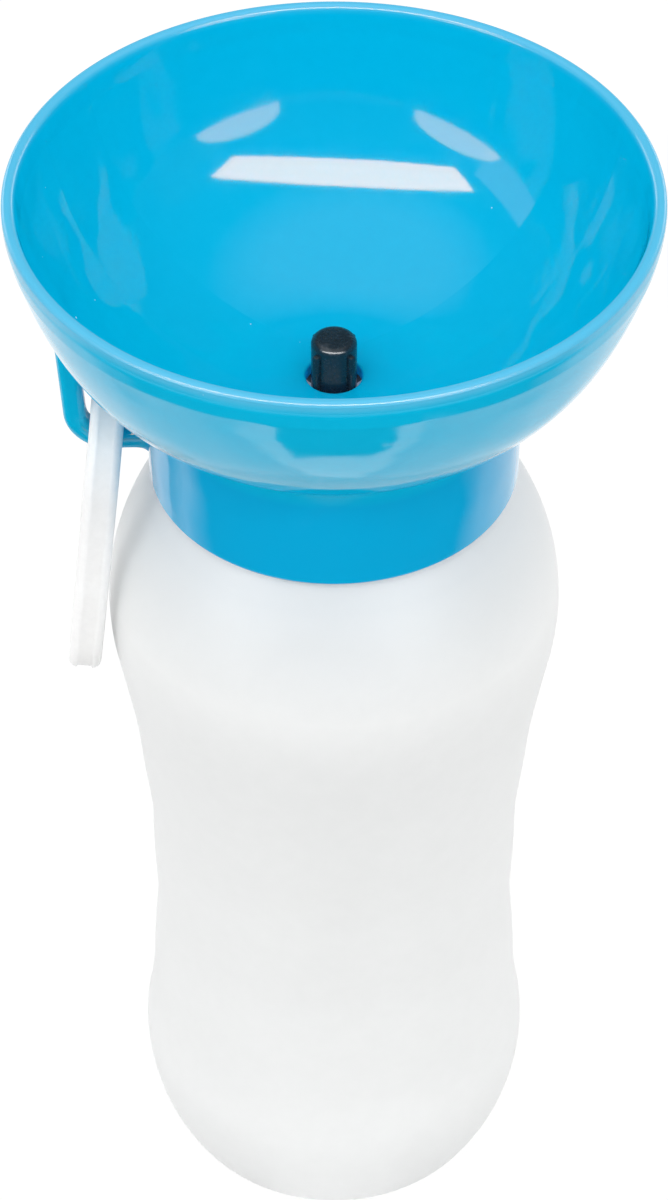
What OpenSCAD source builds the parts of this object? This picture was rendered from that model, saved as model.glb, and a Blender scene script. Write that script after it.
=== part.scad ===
// Travel water bottle for dogs. A soft squeeze bottle carries a drinking bowl on a
// screw collar. Squeezing the bottle drives water up the dip tube, through a
// push-down valve in the bowl's floor, and letting go draws the rest back.
// +Z is up, the origin is the centre of the bottle's base, the collar's hanging
// loop points to -X and the carabiner's gate faces -Y.

/* [Bottle] */
// Height from the base to the foot of the neck
bottle_h = 156.6; // [130:0.1:190]
// Widest diameter, at the shoulder
shoulder_d = 73.4; // [64:0.1:90]
// Distance from the foot of the neck down to the widest point
shoulder_drop = 28.3; // [23:0.1:34]
// How far the grip's waist lies inside the shoulder, on the radius
waist_inset = 5.3; // [2:0.1:8]
// Height of the narrowest point
waist_z = 66; // [52:0.5:84]
// How far the foot's bulge lies inside the shoulder, on the radius
foot_inset = 2.35; // [0:0.05:4.5]
// Height of the foot's bulge
foot_z = 22; // [16:0.5:27]
// Radius of the foot's rounding in profile
foot_round = 42; // [32:0.5:60]
// Radius of the shoulder's rounding in profile
shoulder_round = 42; // [24:0.5:60]
// Radius of the heel, where the side meets the base
heel_round = 6; // [3:0.5:9]
// Depth of the soft grip waves round the body
grip_wave = 0.3; // [0:0.05:0.8]
// Height of one grip wave
grip_pitch = 24; // [16:0.5:32]
// Height of the hollow under the base
base_hollow = 1.2; // [0.6:0.1:2]
// Wall thickness of the body
bottle_wall = 1.3; // [0.9:0.1:2]

/* [Neck] */
// Outer diameter of the neck between its threads
neck_d = 50.8; // [42:0.2:58]
// Height of the neck
neck_h = 13.2; // [12:0.1:18]
// Wall thickness of the neck
neck_wall = 2; // [1.5:0.1:3]
// Width of the flat step from the neck out to the shoulder
neck_step = 2.2; // [1.6:0.1:3]
// Rise of the thread in one turn
thread_pitch = 4; // [3.2:0.1:4.8]
// Height of the thread above the neck
thread_h = 1.35; // [1:0.05:1.6]
// Turns from tight to free
thread_turns = 1.5; // [1:0.25:1.75]
// Radial gap between a thread's crest and the wall that it runs past
thread_gap = 0.4; // [0.3:0.05:0.6]

/* [Bowl] */
// Outer diameter of the rim
rim_d = 98; // [88:0.5:118]
// Height of the bowl from its underside to the top of its rim
bowl_h = 38.3; // [32:0.1:46]
// Wall thickness
bowl_wall = 2.2; // [1.6:0.1:3]
// Outer radius of the curve from the floor into the side
bowl_round = 36; // [32:0.5:40]
// Lean of the side from the vertical where that curve ends
bowl_flare = 23.5; // [20:0.1:27]
// Outer radius of the side's gentle curve above it
side_round = 67.5; // [55:0.5:90]
// Height of the plain band below the rim's edge
rim_band = 4.2; // [3:0.1:6]
// How far the band stands out from the side
rim_step = 0.5; // [0.2:0.05:1]
// Height of the flat ring under the bowl that the gasket seals on
land_h = 1.05; // [0.8:0.05:2]

/* [Collar] */
// Wall thickness of the screw collar
collar_wall = 2; // [1.6:0.1:3]
// Gap between the collar's lower edge and the bottle's shoulder
collar_gap = 0.7; // [0.4:0.1:1.5]
// Thickness of the gasket between the neck and the bowl
gasket_t = 1.6; // [1:0.1:2.5]

/* [Hanging loop] */
// Width of the loop's bar, seen from the side
loop_w = 3.5; // [3:0.1:4.2]
// Thickness of the loop's bar
loop_t = 3.8; // [3:0.1:4.6]
// Rounding of the bar's edges
loop_edge = 1.2; // [0.6:0.1:1.4]
// How far the loop's lower corner reaches out from the axis
loop_reach = 41.9; // [40:0.1:44]
// Outer radius of that corner
loop_corner = 7.2; // [5.5:0.1:8]
// Outward lean of the loop's upright
loop_lean = 2.9; // [0:0.1:5]
// Height of the loop's lower edge above the collar's lower edge
loop_rise = 3.2; // [2:0.1:5]

/* [Valve] */
// Diameter of the hole in the bowl's floor
valve_hole_d = 8.74; // [7.4:0.02:10.6]
// Gap round the plug's core for the water to pass
water_gap = 0.82; // [0.6:0.02:1]
// Clearance of the plug's guide ribs in the hole
guide_fit = 0.08; // [0.05:0.01:0.1]
// Width of each guide rib
rib_w = 1.1; // [0.8:0.1:1.6]
// Height of the raised plug above the bowl's floor
plug_rise = 6.95; // [5.6:0.05:9]
// Distance from the plug's top down to its ribs
rib_drop = 1.5; // [1:0.1:2]
// Travel of the plug from open to shut
plug_travel = 4.2; // [3.4:0.1:5]
// Diameter of the plug's stem
stem_d = 4.6; // [4:0.1:5.2]
// Thickness of the O-ring's cord
oring_t = 1.5; // [1.2:0.05:1.8]
// Clearance of the O-ring in the valve's throat
throat_fit = 0.05; // [0.02:0.01:0.1]
// Wall thickness of the valve housing
housing_wall = 1.6; // [1.2:0.1:2.2]
// Length of the boss under the bowl that holds the housing
boss_h = 8.45; // [7:0.05:10]
// Thickness of the seal on top of the housing
seal_t = 1.05; // [0.8:0.05:1.5]

/* [Dip tube] */
// Outer diameter of the tube
tube_d = 7; // [6.6:0.1:8]
// Wall thickness of the tube
tube_wall = 0.9; // [0.7:0.1:1.2]
// Depth of the socket that holds the tube
tube_socket = 8; // [6:0.5:12]
// Height of the tube's open end above the base
tube_end = 8; // [5:0.5:14]

/* [Carabiner] */
// Overall length
clip_len = 54.6; // [47:0.1:64]
// Width over its legs
clip_w = 24; // [22:0.1:29]
// Thickness of the bar across the carabiner's plane
clip_t = 5.3; // [4.9:0.1:5.5]
// Thickness of the bar in the carabiner's plane
clip_bar = 4.6; // [4:0.1:5]
// Rounding of the bar's edges
clip_edge = 1.5; // [0.8:0.1:1.8]
// How far the lower bend stands out past the legs
clip_proud = 0.4; // [0.2:0.05:0.6]
// Height of the slope from a leg out to the lower bend
clip_slope_h = 3.3; // [2:0.1:5]
// Depth of the groove round the bar's outer side
clip_groove = 0.3; // [0.1:0.05:0.5]
// Gap between the hanging carabiner's plane and the bottle's shoulder that it leans on
clip_rest = 0.15; // [0.1:0.025:1]
// Place of the carabiner on the loop, out from the start of the loop's corner
clip_out = 1.15; // [1:0.05:1.35]
// Distance from the loop's bar up to the inside of the carabiner
clip_hang = 3.35; // [3.2:0.05:3.8]
// Distance from the loop's bar down to the gate's pin
gate_pin_drop = 8; // [7:0.1:9.5]
// Length of the gate below its pin
gate_len = 17.4; // [13:0.1:20]
// Diameter of the gate's pin
gate_pin_d = 1.6; // [1.2:0.1:2]
// Wire thickness of the gate's spring
spring_wire = 0.3; // [0.2:0.01:0.34]

/* [Clearances] */
// Gap between pieces that move past each other
moving_gap = 0.3; // [0.3:0.05:0.5]
// Gap between pieces that are welded or pressed together
seat_gap = 0.05; // [0.02:0.01:0.1]
// Radial clearance of the gate on its pin
pin_fit = 0.05; // [0.02:0.01:0.1]

/* [Hidden] */
$fn = 96;
eps = 0.01;

// Bottle profile, worked out from tangent arcs
shoulder_r = shoulder_d / 2;
waist_r = shoulder_r - waist_inset;
foot_r = shoulder_r - foot_inset;
shoulder_z = bottle_h - shoulder_drop;
neck_r = neck_d / 2;
root_r = neck_r + neck_step;
shoulder_w = shoulder_r - root_r;
// The tangent from the neck exists only while the rounding is smaller than this
round_limit = (shoulder_w * shoulder_w + shoulder_drop * shoulder_drop) / (2 * shoulder_w);
shoulder_arc = min(shoulder_round, 0.9 * round_limit);

// Heights of the stack from the neck to the rim
collar_z = bottle_h + collar_gap;
rim_seat_z = bottle_h + neck_h;
land_z = rim_seat_z + gasket_t;
bowl_z = land_z + land_h;
floor_z = bowl_z + bowl_wall;
top_z = bowl_z + bowl_h;

// Collar and gasket
thread_r = neck_r + thread_h;
collar_in_r = thread_r + thread_gap;
collar_r = collar_in_r + collar_wall;
collar_thread_r = neck_r + thread_gap;
land_r = collar_in_r - 3 * seat_gap;
gasket_lap = 1;
land_lap = 2.9;
gasket_in_r = neck_r - neck_wall - gasket_lap;
gasket_r = land_r - 2 * moving_gap;
land_in_r = neck_r - neck_wall - land_lap;
thread_base_w = 2.1;
thread_crest_w = 1;
thread_root = 0.4;
thread_rise = 3.6;
thread_start_z = bottle_h + thread_rise;

// Bowl profile, with the side's arcs tangent to each other and to the flat floor
rim_r = rim_d / 2;
band_slope = 1;
band_z = top_z - rim_band - band_slope;
flare_z = bowl_z + bowl_round * (1 - sin(bowl_flare));
band_lean = asin(sin(bowl_flare) - (band_z - flare_z) / side_round);
band_r = rim_r - rim_step;
flare_r = band_r - side_round * (cos(band_lean) - cos(bowl_flare));
floor_r = flare_r - bowl_round * cos(bowl_flare);
under_land_z = bowl_z + bowl_round - norm_leg(bowl_round, land_r - floor_r);
bead_r = bowl_wall / 2;

// Valve
hole_r = valve_hole_d / 2;
core_r = hole_r - water_gap;
rib_r = hole_r - guide_fit;
stem_r = stem_d / 2;
plug_top_z = floor_z + plug_rise;
lug_catch = 1.25;
lug_r = hole_r + lug_catch;
lug_h = 1.8;
lug_z = bowl_z - moving_gap - lug_h;
lug_room = 0.9;
housing_in_r = lug_r + lug_room;
housing_r = housing_in_r + housing_wall;
housing_top_z = bowl_z - seal_t;
boss_wall = 1.85;
boss_in_r = housing_r + seat_gap;
boss_r = boss_in_r + boss_wall;
boss_z = bowl_z - boss_h;
flange_t = 1.6;
groove_play = 0.1;
oring_mid_r = stem_r + groove_play / 2;
oring_out_r = oring_mid_r + oring_t / 2;
throat_r = oring_out_r + throat_fit;
throat_h = 2.6;
lift_gap = 1.9;
stem_h = 6;
stem_lip = 0.6;
oring_z = lug_z - stem_h;
stem_end_z = oring_z - oring_t / 2 - stem_lip;
throat_top_z = stem_end_z - lift_gap;
throat_z = throat_top_z - throat_h;

// Dip tube
tube_r = tube_d / 2;
socket_wall = 1.5;
socket_in_r = tube_r + seat_gap;
socket_r = socket_in_r + socket_wall;
socket_z = throat_z - tube_socket;

// Hanging loop
loop_z = collar_z + loop_rise + loop_w / 2;
loop_mid_r = loop_corner - loop_w / 2;
loop_turn_x = loop_reach - loop_corner;

// The hanging carabiner leans on a line through the loop's bar that is tangent to the
// shoulder's arc, grown by half the bar and the gap
clip_x = loop_turn_x + clip_out;
lean_x = clip_x - shoulder_r + shoulder_arc;
lean_z = loop_z - shoulder_z;
lean_reach = shoulder_arc + clip_t / 2 + clip_rest;
clip_lean = atan2(lean_z, lean_x) - acos(lean_reach / norm([lean_x, lean_z]));

// Carabiner, in its own frame: the loop's bar at the origin, its plane Y-Z
clip_mid_r = (clip_w - clip_bar) / 2;
clip_in_r = clip_w / 2 - clip_bar;
clip_top_z = clip_hang - clip_in_r;
clip_low_z = clip_hang + clip_bar - clip_len + clip_w / 2 + clip_proud;
clip_side_y = clip_w / 2;
nose_z = -gate_pin_drop - gate_len;
nose_lip = 1.3;
nose_cut = 0.7;
slope_z = nose_z + nose_lip + clip_slope_h;
ear_t = 1;
ear_r = 2.3;
pin_r = gate_pin_d / 2;
pin_bore_r = pin_r + pin_fit;
coil_slot = 1.2;
coil_slot_h = 3.4;
coil_room = 0.4;
coil_r = pin_r + moving_gap / 2 + spring_wire / 2;

// Side of a right triangle with the long side c and the other side a
function norm_leg(c, a) = sqrt(c * c - a * a);

// Points along an arc, from angle a0 to a1
function arc(cx, cy, r, a0, a1, n) =
    [for (i = [0:n]) let (a = a0 + (a1 - a0) * i / n) [cx + r * cos(a), cy + r * sin(a)]];

function backwards(points) = [for (i = [len(points) - 1:-1:0]) points[i]];

// Depth of the grip waves at height z: they fade out at the foot and below the shoulder
function wave(z) =
    let (low = foot_z, high = shoulder_z - grip_pitch / 2)
    z < low || z > high ? 0
        : grip_wave * (1 - cos(360 * (z - low) / grip_pitch)) / 2
          * min(1, (high - z) / grip_pitch);

function waved(points) = [for (p = points) [p[0] - wave(p[1]), p[1]]];

// Side of the bottle from the base to the foot of the neck, moved in by inset
function body_side(inset) =
    let (
        foot_cx = foot_r - foot_round,
        heel_cx = foot_cx + sqrt(pow(foot_round - heel_round, 2) - pow(foot_z - heel_round, 2)),
        heel_a = atan2(heel_round - foot_z, heel_cx - foot_cx),
        low_dz = waist_z - foot_z,
        low_r = (pow(foot_round - (foot_r - waist_r), 2) + low_dz * low_dz
                 - foot_round * foot_round) / (2 * (foot_r - waist_r)),
        low_a = atan2(low_dz, waist_r + low_r - foot_cx),
        top_dz = shoulder_z - waist_z,
        top_r = (pow(shoulder_arc - waist_inset, 2) + top_dz * top_dz
                 - shoulder_arc * shoulder_arc) / (2 * waist_inset),
        top_cx = shoulder_r - shoulder_arc,
        top_a = atan2(top_dz, waist_r + top_r - top_cx),
        reach = norm([root_r - top_cx, shoulder_drop]),
        end_a = atan2(shoulder_drop, root_r - top_cx) - acos(shoulder_arc / reach)
    )
    waved(concat(
        arc(heel_cx, heel_round, heel_round - inset, -90, heel_a, 8),
        arc(foot_cx, foot_z, foot_round - inset, heel_a + 3, low_a, 14),
        arc(waist_r + low_r, waist_z, low_r + inset, 179 + low_a, 180, 14),
        arc(waist_r + top_r, waist_z, top_r + inset, 179.5, 180 - top_a, 18),
        arc(top_cx, shoulder_z, shoulder_arc - inset, 2 - top_a, end_a, 14)));

// Bowl wall's side from the flat floor to the rim's band, moved in by inset
function bowl_side(inset) = concat(
    arc(floor_r, bowl_z + bowl_round, bowl_round - inset, -90, -bowl_flare, 18),
    arc(band_r - side_round * cos(band_lean), flare_z + side_round * sin(bowl_flare),
        side_round - inset, -bowl_flare + 1, -band_lean, 10));

module ring(r, in_r, z, h) {
    translate([0, 0, z]) difference() {
        cylinder(r = r, h = h);
        translate([0, 0, -eps]) cylinder(r = in_r, h = h + 2 * eps);
    }
}

// Rectangle with round corners, centred, from plain squares and circles
module soft_rect(w, h, r) {
    square([w - 2 * r, h], center = true);
    square([w, h - 2 * r], center = true);
    for (x = [-1, 1], y = [-1, 1])
        translate([x * (w / 2 - r), y * (h / 2 - r)]) circle(r = r, $fn = 32);
}

// Helical thread from radius root to radius crest, which rises from a low stub over
// its first and last 60 degrees. It starts at the angle start and the height z.
module thread(root, crest, z, turns, start) {
    steps = 30;
    taper = steps / 6;
    stub = 0.15;
    n = round(turns * steps);
    rings = [for (i = [0:n])
        let (a = start + 360 * i / steps,
             grow = max(stub, min(1, min(i, n - i) / taper)),
             tip = root + (crest - root) * grow,
             mid = z + thread_pitch * i / steps)
        for (p = [[root, -thread_base_w], [tip, -thread_crest_w],
                  [tip, thread_crest_w], [root, thread_base_w]])
            [p[0] * cos(a), p[0] * sin(a), mid + p[1] / 2]];
    skin = [for (i = [0:n - 1], k = [0:3])
        let (p = 4 * i + k, q = 4 * i + (k + 1) % 4)
        each [[p, q, q + 4], [p, q + 4, p + 4]]];
    ends = [[0, 3, 2], [0, 2, 1],
            [4 * n, 4 * n + 1, 4 * n + 2], [4 * n, 4 * n + 2, 4 * n + 3]];
    faces = concat(skin, ends);
    polyhedron(rings, crest > root ? faces : [for (f = faces) [f[0], f[2], f[1]]]);
}

module bottle() {
    base_r = body_side(0)[0][0];
    foot_ring = 4.5;
    hollow_slope = 2.5;
    mouth_edge = 0.5;
    inner_edge = 1.4;
    hollow_r = base_r - foot_ring - hollow_slope;
    inner_neck_r = neck_r - neck_wall;
    inner_foot_z = bottle_h - bottle_wall;
    outer = concat([[0, base_hollow], [hollow_r, base_hollow], [base_r - foot_ring, 0]],
                   body_side(0),
                   [[root_r, bottle_h], [neck_r, bottle_h], [neck_r, rim_seat_z - mouth_edge],
                    [neck_r - mouth_edge, rim_seat_z]]);
    inner = concat([[0, base_hollow + bottle_wall], [hollow_r, base_hollow + bottle_wall],
                    [base_r - foot_ring, bottle_wall]],
                   body_side(bottle_wall),
                   [[inner_neck_r + inner_edge, inner_foot_z],
                    [inner_neck_r, inner_foot_z + inner_edge],
                    [inner_neck_r, rim_seat_z]]);
    color([0.93, 0.95, 0.95]) {
        rotate_extrude() polygon(concat(outer, backwards(inner)));
        thread(neck_r - thread_root, thread_r, thread_start_z, thread_turns, 0);
    }
}

module neck_gasket() {
    color([0.86, 0.88, 0.88]) ring(gasket_r, gasket_in_r, rim_seat_z, gasket_t);
}

// Everything inside the bowl's outer surface, grown by gap
module bowl_envelope(gap) {
    rotate_extrude() polygon(concat([[0, bowl_z - gap]], bowl_side(-gap),
                                    [[rim_r + gap, top_z], [0, top_z]]));
}

module loop_bar() {
    soft_rect(loop_w, loop_t, loop_edge);
}

// Bar from the collar out along -X, round the corner and up towards the bowl. The
// whole hook is tipped about the corner's start, so that its upright leans outwards.
module hanging_loop() {
    overlap = 1;
    translate([-loop_turn_x, 0, loop_z]) rotate([0, -loop_lean, 0]) {
        rotate([0, 90, 0]) linear_extrude(loop_turn_x - collar_r + overlap) loop_bar();
        translate([0, 0, loop_mid_r]) rotate([90, 0, 0]) rotate([0, 0, 180])
            rotate_extrude(angle = 90) translate([loop_mid_r, 0]) loop_bar();
        translate([-loop_mid_r, 0, loop_mid_r]) linear_extrude(bowl_h) loop_bar();
    }
}

module screw_collar() {
    // Lightly rounded outside at the bottom; the bowl's surface trims the top
    edge_r = 0.6;
    inner_edge = 0.4;
    trim_z = floor_z + bowl_wall + land_h + collar_wall;
    skirt = concat([[collar_in_r + inner_edge, collar_z]],
                   arc(collar_r - edge_r, collar_z + edge_r, edge_r, -90, 0, 6),
                   [[collar_r, trim_z], [collar_in_r, trim_z],
                    [collar_in_r, collar_z + inner_edge]]);
    color([0.0, 0.62, 0.83]) {
        difference() {
            union() {
                rotate_extrude() polygon(skirt);
                hanging_loop();
            }
            bowl_envelope(seat_gap);
            translate([0, 0, top_z - eps]) cylinder(r = rim_r, h = bowl_h);
        }
        thread(collar_in_r + thread_root, collar_thread_r, thread_start_z, thread_turns, 180);
    }
}

module drinking_bowl() {
    inner_band_r = rim_r - bowl_wall;
    bead_z = top_z - bead_r;
    wall = concat([[0, bowl_z]], bowl_side(0),
                  [[rim_r, band_z + band_slope], [rim_r, bead_z]],
                  arc(rim_r - bead_r, bead_z, bead_r, 20, 160, 7),
                  [[inner_band_r, bead_z], [inner_band_r, band_z + 2 * band_slope]],
                  backwards(bowl_side(bowl_wall)), [[0, floor_z]]);
    color([0.0, 0.69, 0.88]) difference() {
        union() {
            rotate_extrude() polygon(wall);
            // Flat sealing land for the neck gasket, which ends in the middle of the wall
            difference() {
                ring(land_r, land_in_r, land_z, under_land_z + bowl_wall - land_z);
                rotate_extrude() polygon(concat([[0, bowl_z + bowl_wall / 2]],
                                                bowl_side(bowl_wall / 2), [[0, top_z]]));
            }
            // Boss that holds the valve housing
            ring(boss_r, boss_in_r, boss_z, boss_h + bowl_wall / 2);
        }
        translate([0, 0, bowl_z - eps]) cylinder(r = hole_r, h = bowl_wall + 2 * eps);
    }
}

module valve_housing() {
    lead_in = 0.45;
    bevel = 1.5;
    flange_z = boss_z - seat_gap;
    profile = [[throat_r, throat_top_z - lead_in], [throat_r + lead_in, throat_top_z],
               [housing_in_r, throat_top_z], [housing_in_r, housing_top_z],
               [housing_r, housing_top_z], [housing_r, flange_z], [boss_r, flange_z],
               [boss_r, flange_z - flange_t], [housing_r, flange_z - flange_t],
               [housing_r, throat_z + bevel], [housing_r - bevel, throat_z],
               [socket_r, throat_z], [socket_r, socket_z],
               [socket_in_r, socket_z], [socket_in_r, throat_z], [throat_r, throat_z]];
    color([0.9, 0.91, 0.92]) rotate_extrude() polygon(profile);
}

module housing_seal() {
    color([0.25, 0.26, 0.27]) ring(housing_r, lug_r + 2 * moving_gap, housing_top_z, seal_t);
}

module valve_plug() {
    top_edge = 0.9;
    stem_edge = 0.4;
    groove_in_r = oring_mid_r - oring_t / 2;
    groove_half = oring_t / 2 + groove_play;
    profile = concat(
        [[0, stem_end_z], [stem_r - stem_edge, stem_end_z], [stem_r, stem_end_z + stem_edge],
         [stem_r, oring_z - groove_half], [groove_in_r, oring_z - groove_half],
         [groove_in_r, oring_z + groove_half], [stem_r, oring_z + groove_half],
         [stem_r, lug_z], [core_r, lug_z]],
        arc(core_r - top_edge, plug_top_z - top_edge, top_edge, 0, 90, 8),
        [[0, plug_top_z]]);
    rib_top_z = plug_top_z - rib_drop;
    color([0.07, 0.13, 0.17]) {
        rotate_extrude() polygon(profile);
        // Four guide ribs, each ending in a lug that catches under the bowl's floor
        intersection() {
            rotate([0, 0, 45]) for (a = [0, 90])
                rotate([0, 0, a]) translate([0, 0, (lug_z + rib_top_z) / 2])
                    cube([2 * lug_r, rib_w, rib_top_z - lug_z], center = true);
            union() {
                translate([0, 0, lug_z]) cylinder(r = rib_r, h = rib_top_z - lug_z);
                translate([0, 0, lug_z]) cylinder(r = lug_r, h = lug_h);
            }
        }
    }
}

module plug_o_ring() {
    color([0.12, 0.12, 0.13]) translate([0, 0, oring_z]) rotate_extrude()
        translate([oring_mid_r, 0]) circle(r = oring_t / 2 - eps, $fn = 32);
}

module dip_tube() {
    slant = 35;
    color([0.9, 0.92, 0.92]) difference() {
        ring(tube_r, tube_r - tube_wall, tube_end, throat_z - seat_gap - tube_end);
        translate([tube_r / 2, 0, tube_end]) rotate([0, slant, 0])
            translate([-4 * tube_r, -2 * tube_r, -4 * tube_r])
                cube([8 * tube_r, 4 * tube_r, 4 * tube_r]);
    }
}

// Places children that are drawn in the carabiner's own frame, with the gate on -Y, and
// turns the gate to +Y
module hung() {
    translate([-clip_x, 0, loop_z]) rotate([0, clip_lean, 0]) rotate([0, 0, 180]) children();
}

// Outline of the carabiner's bar, which proud makes thicker on its outer side. X points
// away from the carabiner's middle, and Y stands square to the carabiner's plane.
module clip_bar_outline(proud) {
    translate([proud / 2, 0]) soft_rect(clip_bar + proud, clip_t, clip_edge);
}

// The same with the groove in its outer side
module clip_section(proud) {
    difference() {
        clip_bar_outline(proud);
        translate([clip_bar / 2 + proud, 0])
            square([2 * clip_groove, clip_t - 2 * clip_edge], center = true);
    }
}

module clip_arc(z, start, sweep, proud = 0) {
    translate([0, 0, z]) rotate([90, 0, 90]) rotate([0, 0, start])
        rotate_extrude(angle = sweep) translate([clip_mid_r, 0]) clip_section(proud);
}

// Places a section at height z on the leg on the side (+1 or -1) of Y
module on_leg(side, z) {
    translate([0, side * clip_mid_r, z]) rotate([0, 0, side * 90]) children();
}

// Straight leg from z0 up to z1
module clip_leg(side, z0, z1, proud = 0) {
    on_leg(side, z0) linear_extrude(z1 - z0) clip_section(proud);
}

// Slope on the solid leg, from its own thickness out to the lower bend's
module clip_slope() {
    difference() {
        hull() {
            on_leg(1, slope_z - eps) linear_extrude(eps) clip_bar_outline(0);
            on_leg(1, slope_z - clip_slope_h) linear_extrude(eps) clip_bar_outline(clip_proud);
        }
        translate([0, clip_side_y, slope_z])
            rotate([atan2(clip_proud, clip_slope_h), 0, 0])
            cube([clip_t - 2 * clip_edge, 2 * clip_groove, 3 * clip_slope_h], center = true);
    }
}

module carabiner_body() {
    ear_x = clip_t / 2 - ear_t;
    fork_z = -gate_pin_drop + ear_r + moving_gap;
    color([0.95, 0.95, 0.95]) hung() difference() {
        union() {
            clip_arc(clip_top_z, 0, 180);
            clip_arc(clip_low_z, 180, 180, clip_proud);
            clip_leg(1, slope_z, clip_top_z);
            clip_slope();
            clip_leg(1, clip_low_z, slope_z - clip_slope_h, clip_proud);
            clip_leg(-1, clip_low_z, nose_z + nose_lip, clip_proud);
            clip_leg(-1, -gate_pin_drop, clip_top_z);
            translate([-clip_t / 2, -clip_mid_r, -gate_pin_drop]) rotate([0, 90, 0])
                cylinder(r = ear_r, h = clip_t, $fn = 48);
        }
        // Fork that takes the gate's end
        translate([-ear_x, -clip_w, -gate_pin_drop - 2 * ear_r]) cube(
            [2 * ear_x, clip_w - clip_in_r + 1, fork_z + gate_pin_drop + 2 * ear_r]);
        // Bore for the pin
        translate([-clip_t, -clip_mid_r, -gate_pin_drop]) rotate([0, 90, 0])
            cylinder(r = pin_r + seat_gap / 2, h = 2 * clip_t, $fn = 48);
        // Step in the nose that the gate closes on
        translate([-clip_t, -clip_mid_r - nose_cut, nose_z - moving_gap])
            cube([2 * clip_t, clip_bar, 2 * clip_bar]);
    }
}

module carabiner_gate() {
    tongue_x = clip_t / 2 - ear_t - moving_gap / 2;
    tongue_w = clip_bar - 1;
    tongue_z = -gate_pin_drop - ear_r - moving_gap - 1;
    color([0.95, 0.95, 0.95]) hung() difference() {
        union() {
            difference() {
                clip_leg(-1, nose_z, -gate_pin_drop - ear_r - moving_gap);
                // Outer half of the free end, which stays clear of the nose's lip
                translate([-clip_t, -clip_mid_r - nose_cut + moving_gap - clip_bar,
                           nose_z - clip_bar])
                    cube([2 * clip_t, clip_bar, clip_bar + nose_lip + moving_gap]);
            }
            translate([-tongue_x, -clip_mid_r, -gate_pin_drop]) rotate([0, 90, 0])
                cylinder(r = ear_r, h = 2 * tongue_x, $fn = 48);
            translate([-tongue_x, -clip_mid_r - tongue_w / 2, tongue_z])
                cube([2 * tongue_x, tongue_w, -gate_pin_drop - tongue_z]);
        }
        translate([-clip_t, -clip_mid_r, -gate_pin_drop]) rotate([0, 90, 0])
            cylinder(r = pin_bore_r, h = 2 * clip_t, $fn = 48);
        // Slot for the spring's coil and lower leg, closed on the outer side
        translate([-coil_slot / 2, -clip_mid_r - coil_r - coil_room,
                   -gate_pin_drop - coil_slot_h])
            cube([coil_slot, 2 * clip_bar, coil_slot_h + 2 * ear_r]);
    }
}

module gate_pin() {
    color([0.78, 0.79, 0.8]) hung() translate([-clip_t / 2, -clip_mid_r, -gate_pin_drop])
        rotate([0, 90, 0]) cylinder(r = pin_r, h = clip_t, $fn = 48);
}

// Torsion spring: a wire that runs up from its lower leg, round the pin and up to its
// upper leg. Each ring of points stands square to the wire.
module gate_spring() {
    turns = 2;
    steps = 20;
    sides = 8;
    low_leg = 3;
    top_leg = 2.2;
    wire_r = spring_wire / 2;
    lay = 1.1 * spring_wire;
    n = turns * steps;
    // Place of ring i: along the coil's angle, then along the straight legs
    function ring_angle(i) = 360 * min(max(i - 1, 0), n) / steps;
    function ring_slip(i) = i == 0 ? -low_leg : i == n + 2 ? top_leg : 0;
    points = [for (i = [0:n + 2], k = [0:sides - 1])
        let (a = ring_angle(i), slip = ring_slip(i), f = 360 * k / sides,
             r = coil_r + wire_r * cos(f))
        [lay * (a / 360 - turns / 2) + wire_r * sin(f),
         r * cos(a) - slip * sin(a), r * sin(a) + slip * cos(a)]];
    skin = [for (i = [0:n + 1], k = [0:sides - 1])
        let (p = sides * i + k, q = sides * i + (k + 1) % sides)
        each [[p, q + sides, q], [p, p + sides, q + sides]]];
    last = sides * (n + 2);
    ends = concat([for (k = [1:sides - 2]) [0, k, k + 1]],
                  [for (k = [1:sides - 2]) [last, last + k + 1, last + k]]);
    color([0.72, 0.73, 0.75]) hung() translate([0, -clip_mid_r, -gate_pin_drop])
        polyhedron(points, concat(skin, ends));
}

bottle();
neck_gasket();
screw_collar();
drinking_bowl();
valve_housing();
housing_seal();
valve_plug();
plug_o_ring();
dip_tube();
carabiner_body();
carabiner_gate();
gate_pin();
gate_spring();
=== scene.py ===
import math
import bpy
import numpy as np
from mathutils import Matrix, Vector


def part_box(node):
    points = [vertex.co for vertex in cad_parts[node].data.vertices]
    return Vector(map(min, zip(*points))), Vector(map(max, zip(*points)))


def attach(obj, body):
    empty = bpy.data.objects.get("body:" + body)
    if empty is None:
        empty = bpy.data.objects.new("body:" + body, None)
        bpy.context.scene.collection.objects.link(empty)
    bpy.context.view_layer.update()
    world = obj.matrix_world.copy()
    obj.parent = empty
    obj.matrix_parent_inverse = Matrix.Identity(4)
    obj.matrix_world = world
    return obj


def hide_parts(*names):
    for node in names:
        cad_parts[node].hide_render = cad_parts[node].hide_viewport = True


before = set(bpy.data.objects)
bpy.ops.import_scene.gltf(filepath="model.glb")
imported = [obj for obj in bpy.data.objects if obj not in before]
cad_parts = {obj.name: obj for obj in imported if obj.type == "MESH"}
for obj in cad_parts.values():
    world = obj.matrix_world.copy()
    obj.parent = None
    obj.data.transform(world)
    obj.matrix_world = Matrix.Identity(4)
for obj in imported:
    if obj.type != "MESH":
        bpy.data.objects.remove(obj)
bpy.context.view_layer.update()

mm = 0.001

view = dict(place=(0.0, -0.40719, 0.51712), tilt=46.178, lens=103.22, sensor=36.0)


def placeCamera():
    # pinhole camera in front of the bottle and above it, tipped down about X
    data = bpy.data.cameras.new("camera")
    data.lens = view["lens"]
    data.sensor_width = view["sensor"]
    camera = bpy.data.objects.new("camera", data)
    camera.location = view["place"]
    camera.rotation_euler = (math.radians(view["tilt"]), 0, 0)
    bpy.context.scene.collection.objects.link(camera)
    bpy.context.scene.camera = camera
    bpy.context.scene.view_settings.view_transform = "Standard"


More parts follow.
